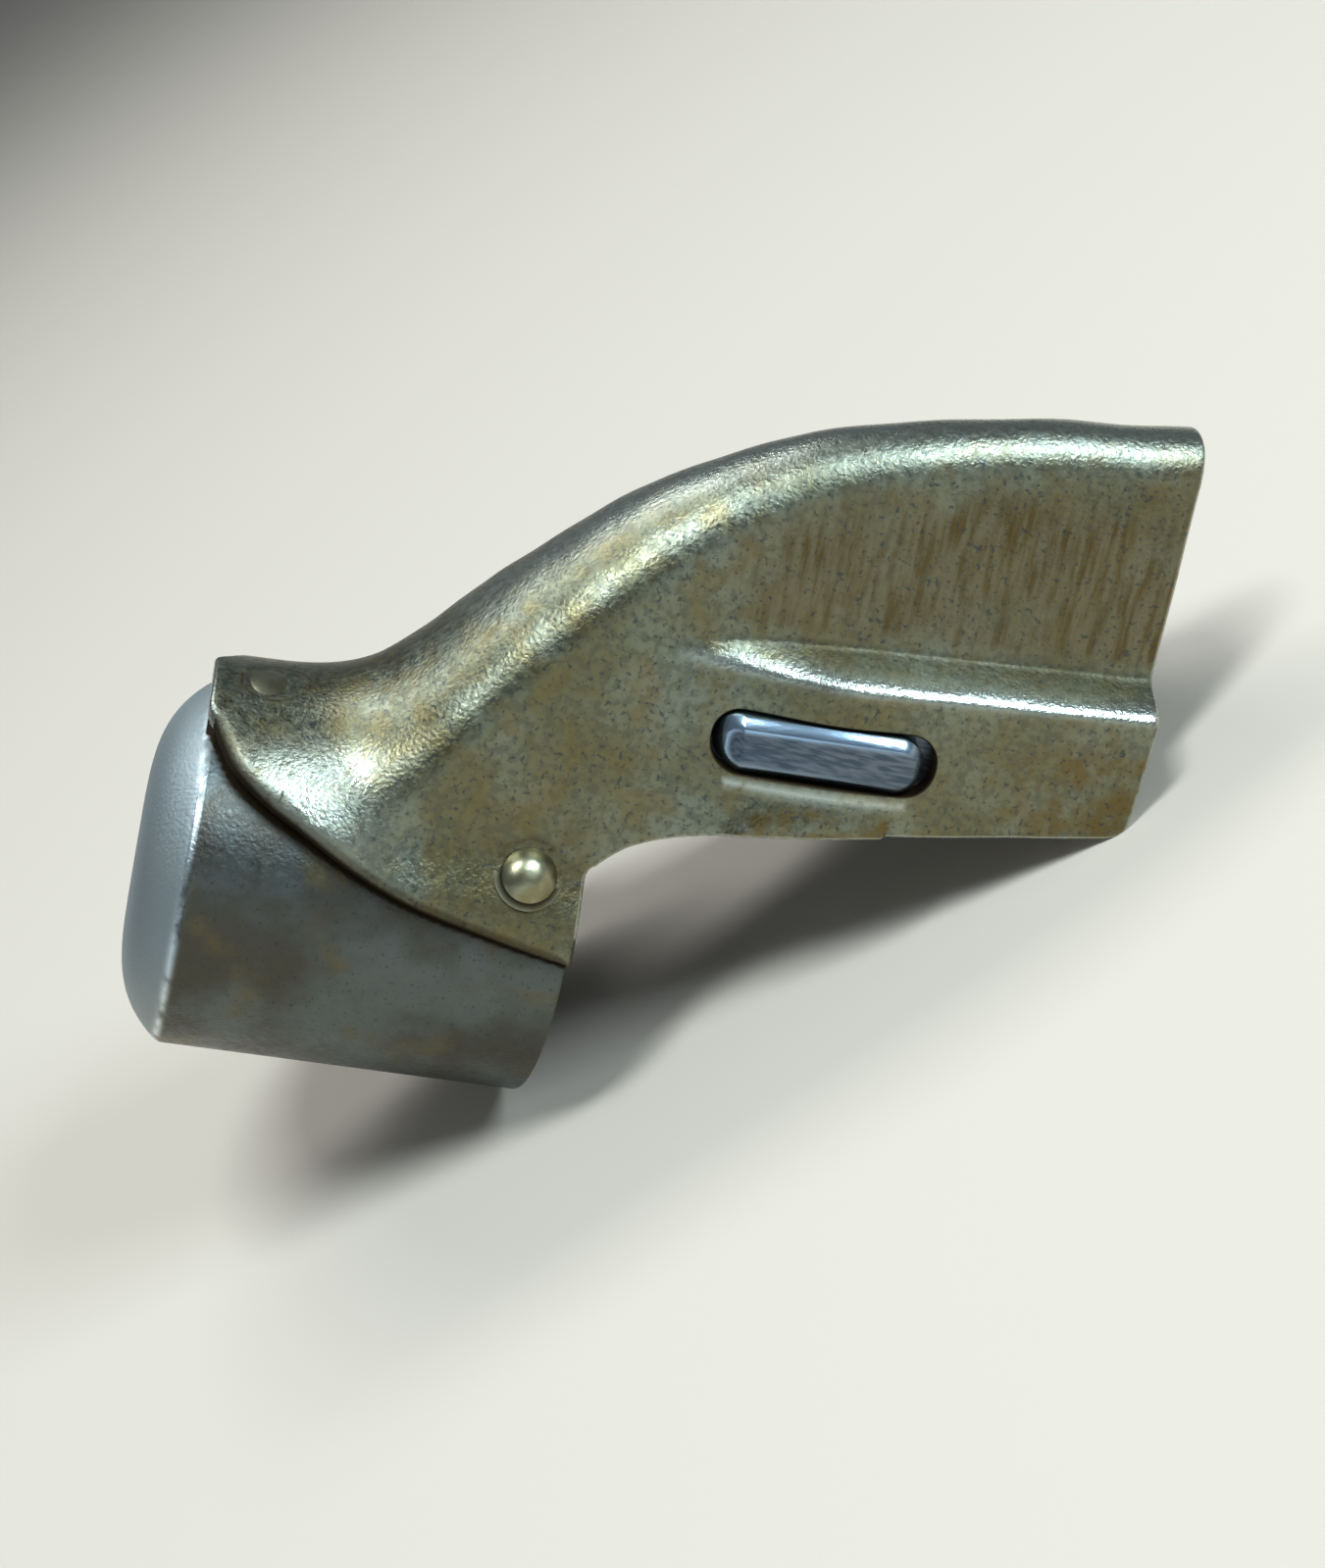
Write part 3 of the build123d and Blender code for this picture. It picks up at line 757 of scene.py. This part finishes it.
def make_rivet(name, place, head, material):
    """Rivet with a button head on a flat collar and its shank through to the cup's bore."""
    radius, side, height, reach = head
    x, angle = place
    turn = math.radians(angle)
    axis = (0, -math.cos(turn), math.sin(turn))
    seat = (rivet_place(x, angle), axis, (1, 0, 0), np.cross(axis, (1, 0, 0)))
    fullness = 2.6
    sunk = 0.2
    dome = [(radius * t, side + (height - side) * (1 - t ** fullness)) for t in np.linspace(0, 1, 16)]
    collar = radius + reach
    end = RIVET_END - WRAP_RADIUS
    corners = [*dome, (radius, COLLAR_HEIGHT), (collar, COLLAR_HEIGHT), (collar, 0.02 - sunk),
               (SHANK_RADIUS, -sunk), (SHANK_RADIUS, end + 0.1), (SHANK_RADIUS - 0.1, end), (0, end)]
    radii = [0.0] * (len(corners) - 2)
    radii[len(dome) - 2] = 0.12
    radii[len(dome)] = 0.02
    points, faces = lathe(round_corners(corners, radii, arc_steps=4), seat, 64)
    lift = (points - seat[0]) @ np.array(axis)
    out = np.linalg.norm(points - seat[0] - lift[:, None] * np.array(axis), axis=1)
    # Painted shade: dark at the foot of the head and round the collar's edge
    at_foot = np.exp(-((out - radius - 0.03) / 0.07) ** 2) * (lift < side)
    at_rim = 0.45 * smooth_step((out - collar + 0.1) / 0.1)
    return new_piece(name, points, faces, material, grime=np.maximum(at_foot, at_rim))


def strip_section():
    """Outline of the spring's strip: (share of its width, height)."""
    return rounded_rectangle(STRIP, STRIP_HEIGHT, 0.15, arc_steps=3)[:-1]


def make_spring_half(name, side, material):
    """Half of the spring from the middle of its bend to its leg's tip; side is -1 on the left."""
    bend = [(-BEND_RADIUS * math.cos(t), -BEND_RADIUS * math.sin(t)) for t in np.linspace(0, SQUARE, 24)]
    run = round_corners([bend[-1], LEG_KNEE, LEG_TIP], [1.5])
    line = np.array(bend + evenly(run, 0.4).tolist()[1:])
    line[:, 1] *= -side
    points, rows = [], []
    section = strip_section()
    for i, (a, y) in enumerate(line):
        before, after = line[max(i - 1, 0)], line[min(i + 1, len(line) - 1)]
        tangent = (after - before) / np.linalg.norm(after - before)
        across = np.array([-tangent[1], tangent[0]])
        rows.append(list(range(len(points), len(points) + len(section))))
        for width, height in section:
            points.append((a + across[0] * width, y + across[1] * width, height))
    faces = ring_faces(rows) + [rows[0][::-1], rows[-1]]
    return new_piece(name, spring_plane(points), faces, material)


def leg_middle(a):
    """Y of the left leg's middle line at a, both in the spring plane."""
    return -BEND_RADIUS + (LEG_KNEE[1] + BEND_RADIUS) / LEG_KNEE[0] * a


def outer_half_width(x, z):
    """Half width of the hood's outer skin at x and z."""
    xv = np.array([[x, SHEET_V.v_at_height(x, z)]])
    return SHEET_V.sample(SHEET_V.outer, xv)[0, 1]


def catch_face(a):
    """How far out the catch's face lies at a in the spring plane, its nose sloping in at the front."""
    x, _, z = spring_plane(np.array([a, 0, 0]))
    nose = max(CATCH_FRONT + CATCH_NOSE - a, 0)
    return outer_half_width(x, z) + CATCH_PROUD - CATCH_NOSE_SLOPE * nose


def make_catch(name, side, material):
    """Steel block on the spring's leg with a bevelled face standing through the slot."""
    length = CATCH_REAR - CATCH_FRONT
    middle = (CATCH_FRONT + CATCH_REAR) / 2
    half = CATCH_HEIGHT / 2
    lip = 0.05
    # Rows of (inset from the outline, rise above the face), the first on the leg and with no rise
    profile = [(0, None), (0, -CATCH_BEVEL - lip), (lip * 0.3, -CATCH_BEVEL), (CATCH_BEVEL, -lip * 0.4),
               (CATCH_BEVEL + lip, 0), (half * 0.5, 0), (half * 0.75, 0), (half - 0.06, 0)]
    points, rows = [], []
    for inset, rise in profile:
        corner = max(CATCH_CORNER - inset, 0.05)
        outline = rounded_rectangle(length - 2 * inset, CATCH_HEIGHT - 2 * inset, corner)[:-1]
        rows.append(list(range(len(points), len(points) + len(outline))))
        for a, height in outline:
            a += middle
            out = -leg_middle(a) + STRIP / 2 if rise is None else catch_face(a) + rise
            points.append((a, side * out, height))
    faces = ring_faces(rows) + [rows[0][::-1], rows[-1]]
    on_bevel = np.concatenate([[float(0 < i < 5)] * len(row) for i, row in enumerate(rows)])
    along, _, height = np.array(points).T
    # Painted light: the bevels are lit towards the top and the front and left dark at the bottom and rear
    lit_top_front = smooth_step(0.5 + height + 0.25 * (middle - along))
    return new_piece(name, spring_plane(points), faces, material, wear=on_bevel * lit_top_front)


# ---------------------------------------------------------------- materials

class Look:
    """A material's node tree, with its textures placed in bore-frame millimetres."""

    def __init__(self, name, metallic=1.0, roughness=0.4):
        self.material = bpy.data.materials.new(name)
        self.material.use_nodes = True
        self.tree = self.material.node_tree
        self.shader = self.tree.nodes["Principled BSDF"]
        self.shader.inputs["Metallic"].default_value = metallic
        self.shader.inputs["Roughness"].default_value = roughness
        place = self.put("ShaderNodeTexCoord")
        to_bore = self.put("ShaderNodeMapping")
        to_bore.inputs["Rotation"].default_value = (0, math.atan2(ALONG.z, ALONG.x), 0)
        to_bore.inputs["Scale"].default_value = (1 / MM,) * 3
        self.join(place.outputs["Object"], to_bore.inputs["Vector"])
        self.place = to_bore.outputs[0]

    def put(self, kind):
        return self.tree.nodes.new(kind)

    def join(self, source, target):
        """Links a socket to an input, or sets the input where the source is a plain value."""
        if isinstance(source, bpy.types.NodeSocket):
            self.tree.links.new(source, target)
        else:
            target.default_value = source

    def noise(self, scale, detail=3.0, stretch=(1, 1, 1), shift=0.0):
        """Noise with features of about 1 / scale millimetres, drawn out where stretch is below 1."""
        spread = self.put("ShaderNodeMapping")
        spread.inputs["Scale"].default_value = stretch
        spread.inputs["Location"].default_value = (shift, shift, shift)
        self.join(self.place, spread.inputs["Vector"])
        noise = self.put("ShaderNodeTexNoise")
        noise.inputs["Scale"].default_value = scale
        noise.inputs["Detail"].default_value = detail
        self.join(spread.outputs[0], noise.inputs["Vector"])
        return noise.outputs[0]

    def between(self, value, low, high):
        """0 where value is at low, 1 where it is at high, smooth between."""
        window = self.put("ShaderNodeMapRange")
        window.interpolation_type = "SMOOTHSTEP"
        self.join(value, window.inputs["Value"])
        window.inputs["From Min"].default_value = low
        window.inputs["From Max"].default_value = high
        return window.outputs["Result"]

    def attribute(self, name):
        read = self.put("ShaderNodeAttribute")
        read.attribute_name = name
        return read.outputs["Fac"]

    def maths(self, operation, a, b):
        node = self.put("ShaderNodeMath")
        node.operation = operation
        self.join(a, node.inputs[0])
        self.join(b, node.inputs[1])
        return node.outputs[0]

    def mix(self, share, a, b):
        """Colour or number a where share is 0 and b where it is 1."""
        node = self.put("ShaderNodeMix")
        number = isinstance(b, float)
        node.data_type = "FLOAT" if number else "RGBA"
        first, second, out = (2, 3, 0) if number else (6, 7, 2)
        self.join(share, node.inputs[0])
        self.join(a, node.inputs[first])
        self.join(b, node.inputs[second])
        return node.outputs[out]

    def finish(self, colour, roughness, height=None, depth=0.02):
        """Joins up the shader; height is pressed in by up to depth millimetres."""
        self.join(colour, self.shader.inputs["Base Color"])
        self.join(roughness, self.shader.inputs["Roughness"])
        if height is not None:
            bump = self.put("ShaderNodeBump")
            bump.inputs["Distance"].default_value = depth * MM
            self.join(height, bump.inputs["Height"])
            self.join(bump.outputs[0], self.shader.inputs["Normal"])
        return self.material


def rgb(red, green, blue):
    """A display colour from 0 to 255 as the shader's linear colour."""
    linear = [c / 12.92 if c <= 0.04045 else ((c + 0.055) / 1.055) ** 2.4
              for c in (red / 255, green / 255, blue / 255)]
    return (*linear, 1)


def hood_brass():
    """Olive-brown tarnish, golden in places, scratched and pitted, bright from rubbing and painted
    highlights, darkened by painted shade in creases, slots, under the seam and round the rivets.
    """
    look = Look("hood_brass")
    clouds = look.between(look.noise(0.2, 4), 0.38, 0.62)
    colour = look.mix(clouds, rgb(114, 110, 82), rgb(128, 131, 112))
    fine = look.between(look.noise(2.6, 8, shift=4), 0.42, 0.62)
    colour = look.mix(look.maths("MULTIPLY", fine, 0.55), colour, rgb(88, 88, 74))
    golden = look.between(look.noise(0.7, 8, shift=11), 0.44, 0.66)
    colour = look.mix(look.maths("MULTIPLY", golden, 0.45), colour, rgb(118, 102, 60))
    gold_patches = look.between(look.noise(1.1, 8, shift=19), 0.3, 0.66)
    gold = look.maths("MULTIPLY", look.attribute("gold"), gold_patches)
    colour = look.mix(gold, colour, rgb(110, 94, 58))
    streaks = look.between(look.noise(3.0, 7, stretch=(1, 0.2, 0.14), shift=13), 0.35, 0.72)
    brown = look.mix(streaks, rgb(118, 110, 84), rgb(92, 76, 44))
    patchy = look.mix(look.between(look.noise(0.3, 4, shift=17), 0.35, 0.6), 0.45, 0.95)
    colour = look.mix(look.maths("MULTIPLY", look.attribute("panel"), patchy), colour, brown)
    pits = look.between(look.noise(4.5, 6, shift=9), 0.56, 0.68)
    colour = look.mix(look.maths("MULTIPLY", pits, 0.7), colour, rgb(62, 68, 70))
    # Rubbing and painted highlights, broken up by noise
    bare = look.between(look.noise(1.8, 4, shift=2), 0.2, 0.48)
    worn_and_lit = look.maths("MULTIPLY", look.attribute("wear"), bare)
    colour = look.mix(worn_and_lit, colour, rgb(198, 204, 190))
    # Painted shade, with some dirt, in creases, slots, under the seam and round the rivets
    colour = look.mix(look.attribute("grime"), colour, rgb(52, 42, 28))
    roughness = look.mix(look.between(look.noise(2.5, 4, shift=6), 0.3, 0.7), 0.28, 0.44)
    roughness = look.mix(worn_and_lit, roughness, 0.2)
    roughness = look.mix(look.attribute("grime"), roughness, 0.7)
    return look.finish(colour, roughness, look.noise(5.5, 8, shift=3), 0.036)


def cup_brass():
    """Grey-brown tarnish with olive stains, painted paler on the dome for the light it faces, with a
    painted highlight along its rim and painted shade in the bore and along the seam.
    """
    look = Look("cup_brass")
    clouds = look.between(look.noise(0.2, 4, shift=7), 0.38, 0.62)
    colour = look.mix(clouds, rgb(78, 76, 68), rgb(95, 101, 98))
    olive = look.between(look.noise(0.3, 5, shift=1), 0.54, 0.7)
    colour = look.mix(look.maths("MULTIPLY", olive, 0.6), colour, rgb(104, 94, 62))
    pits = look.between(look.noise(5.5, 4, shift=5), 0.6, 0.7)
    colour = look.mix(look.maths("MULTIPLY", pits, 0.6), colour, rgb(58, 61, 62))
    # Painted light: the dome is paler because it faces the brighter side of the room
    colour = look.mix(look.maths("MULTIPLY", look.attribute("dome"), 0.85), colour, rgb(160, 168, 167))
    # Painted highlight along the rim, with some rubbing
    bare = look.between(look.noise(0.9, 5, shift=3), 0.3, 0.6)
    worn_and_lit = look.maths("MULTIPLY", look.attribute("wear"), bare)
    colour = look.mix(worn_and_lit, colour, rgb(214, 224, 224))
    # Painted shade along the seam and in the bore
    colour = look.mix(look.attribute("grime"), colour, rgb(40, 32, 22))
    roughness = look.mix(look.between(look.noise(2.5, 4, shift=8), 0.3, 0.7), 0.32, 0.46)
    roughness = look.mix(look.attribute("dome"), roughness, 0.55)
    roughness = look.mix(worn_and_lit, roughness, 0.3)
    roughness = look.mix(look.attribute("grime"), roughness, 0.7)
    return look.finish(colour, roughness, look.noise(5.5, 8, shift=2), 0.03)


def rivet_brass():
    """Brass polished bright by rubbing, with painted shade round the head."""
    look = Look("rivet_brass")
    colour = look.mix(look.between(look.noise(1.2, 4), 0.4, 0.6), rgb(134, 128, 98), rgb(150, 146, 118))
    # Painted shade at the head's foot and round its collar
    colour = look.mix(look.attribute("grime"), colour, rgb(36, 31, 22))
    roughness = look.mix(look.attribute("grime"), 0.32, 0.75)
    return look.finish(colour, roughness, look.noise(3.0, 4, shift=2), 0.012)


def brushed_steel(name, shade, highlight_colour):
    """Steel brushed along the bore, with a painted highlight colour where the piece's mask is lit."""
    look = Look(name)
    brushing = look.noise(6.0, 2, stretch=(0.05, 1, 1))
    colour = look.mix(look.between(brushing, 0.35, 0.65), shade, rgb(108, 118, 130))
    # Painted highlight on a catch's lit bevels
    colour = look.mix(look.attribute("wear"), colour, highlight_colour)
    roughness = look.mix(look.attribute("wear"), 0.36, 0.22)
    return look.finish(colour, roughness, brushing, 0.012)


def plain_floor():
    look = Look("floor", metallic=0.0)
    return look.finish(rgb(197, 184, 167), 0.9)


# ---------------------------------------------------------------- the scene

def place_camera():
    azimuth, elevation, roll = (math.radians(a) for a in (CAMERA_AZIMUTH, CAMERA_ELEVATION, CAMERA_ROLL))
    back = Vector((math.sin(azimuth) * math.cos(elevation), -math.cos(azimuth) * math.cos(elevation),
                   math.sin(elevation)))
    level_right = Vector((math.cos(azimuth), math.sin(azimuth), 0))
    level_up = back.cross(level_right)
    up = level_up * math.cos(roll) + level_right * math.sin(roll)
    right = up.cross(back)
    place = Vector(in_row(CAMERA_TARGET)) + back * CAMERA_DISTANCE
    camera = bpy.data.objects.new("camera", bpy.data.cameras.new("camera"))
    camera.data.sensor_width = 36
    camera.data.lens = CAMERA_LENS
    camera.data.clip_start = 0.005
    turned = Matrix((right, up, back)).transposed().to_4x4()
    camera.matrix_world = Matrix.Translation(place) @ turned
    bpy.context.scene.collection.objects.link(camera)
    bpy.context.scene.camera = camera


def soft_light(name, place, target, size, watts, colour):
    light = bpy.data.lights.new(name, "AREA")
    light.shape = "RECTANGLE"
    light.size, light.size_y = size
    light.energy = watts
    light.color = colour
    lamp = bpy.data.objects.new(name, light)
    lamp.location = place
    lamp.rotation_euler = (Vector(target) - Vector(place)).to_track_quat("-Z", "Y").to_euler()
    bpy.context.scene.collection.objects.link(lamp)


def light_room():
    world = bpy.data.worlds.new("room")
    bpy.context.scene.world = world
    world.use_nodes = True
    background = world.node_tree.nodes["Background"]
    background.inputs["Color"].default_value = (0.75, 0.87, 1.0, 1)
    background.inputs["Strength"].default_value = ROOM_LIGHT
    soft_light("window", (-0.04, 0.2, 0.38), (0, 0, 0), (0.36, 0.1), 1.0, (0.84, 0.92, 1.0))
    soft_light("strip", (0.04, -0.09, 0.4), (0, 0, 0.01), (0.18, 0.07), 1.5, (0.76, 0.89, 1.0))
    soft_light("lamp", (0.36, -0.15, 0.28), (0, 0, 0.01), (0.18, 0.14), 1.8, (0.68, 0.86, 1.0))
    soft_light("fill", (-0.1, -0.6, 0.1), (0, 0, 0.01), (0.9, 0.3), 0.9, (0.72, 0.87, 1.0))
    soft_light("left_fill", (-0.6, -0.1, 0.12), (0, 0, 0.01), (0.5, 0.3), 0.28, (0.84, 0.92, 1.0))


def lay_floor():
    bpy.ops.mesh.primitive_plane_add(size=3, location=(0, 0, 0))
    floor = bpy.context.object
    floor.name = "floor"
    floor.data.materials.append(plain_floor())


def fit(piece, body, slot, *nodes):
    """The piece moves with a body and stands for the CAD nodes, which are hidden; slot is not used."""
    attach(piece, body)
    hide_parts(*nodes)


SHEET_V = HoodSheet()
BRASS = rivet_brass()
SPRING = brushed_steel("spring_steel", rgb(84, 88, 94), rgb(84, 88, 94))
# The catch's bevels take a pale blue painted highlight
CATCH = brushed_steel("catch_steel", rgb(76, 88, 101), rgb(168, 192, 210))

fit(make_hood(hood_brass()), "root", "hood_brass", "hood")
fit(make_cup(cup_brass()), "root", "cup_brass", "cup")
fit(make_rivet("rivet_top", (TOP_RIVET_X, 90), TOP_HEAD, BRASS), "root", "rivet_brass", "top_rivet")
for word, side, angle in (("left", -1, SIDE_RIVET[1]), ("right", 1, 180 - SIDE_RIVET[1])):
    body = word + "_spring"
    rivet = make_rivet("rivet_" + word, (SIDE_RIVET[0], angle), SIDE_HEAD, BRASS)
    fit(rivet, "root", "rivet_brass", word + "_rivet")
    fit(make_catch("catch_block_" + word, side, CATCH), body, "catch_steel", "catch_" + word)
    half = make_spring_half("spring_half_" + word, side, SPRING)
    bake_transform(half)
    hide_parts("spring_leg_" + word, *(["spring_bend"] if side < 0 else []))

lay_floor()
light_room()
place_camera()
bpy.context.scene.view_settings.view_transform = "Standard"
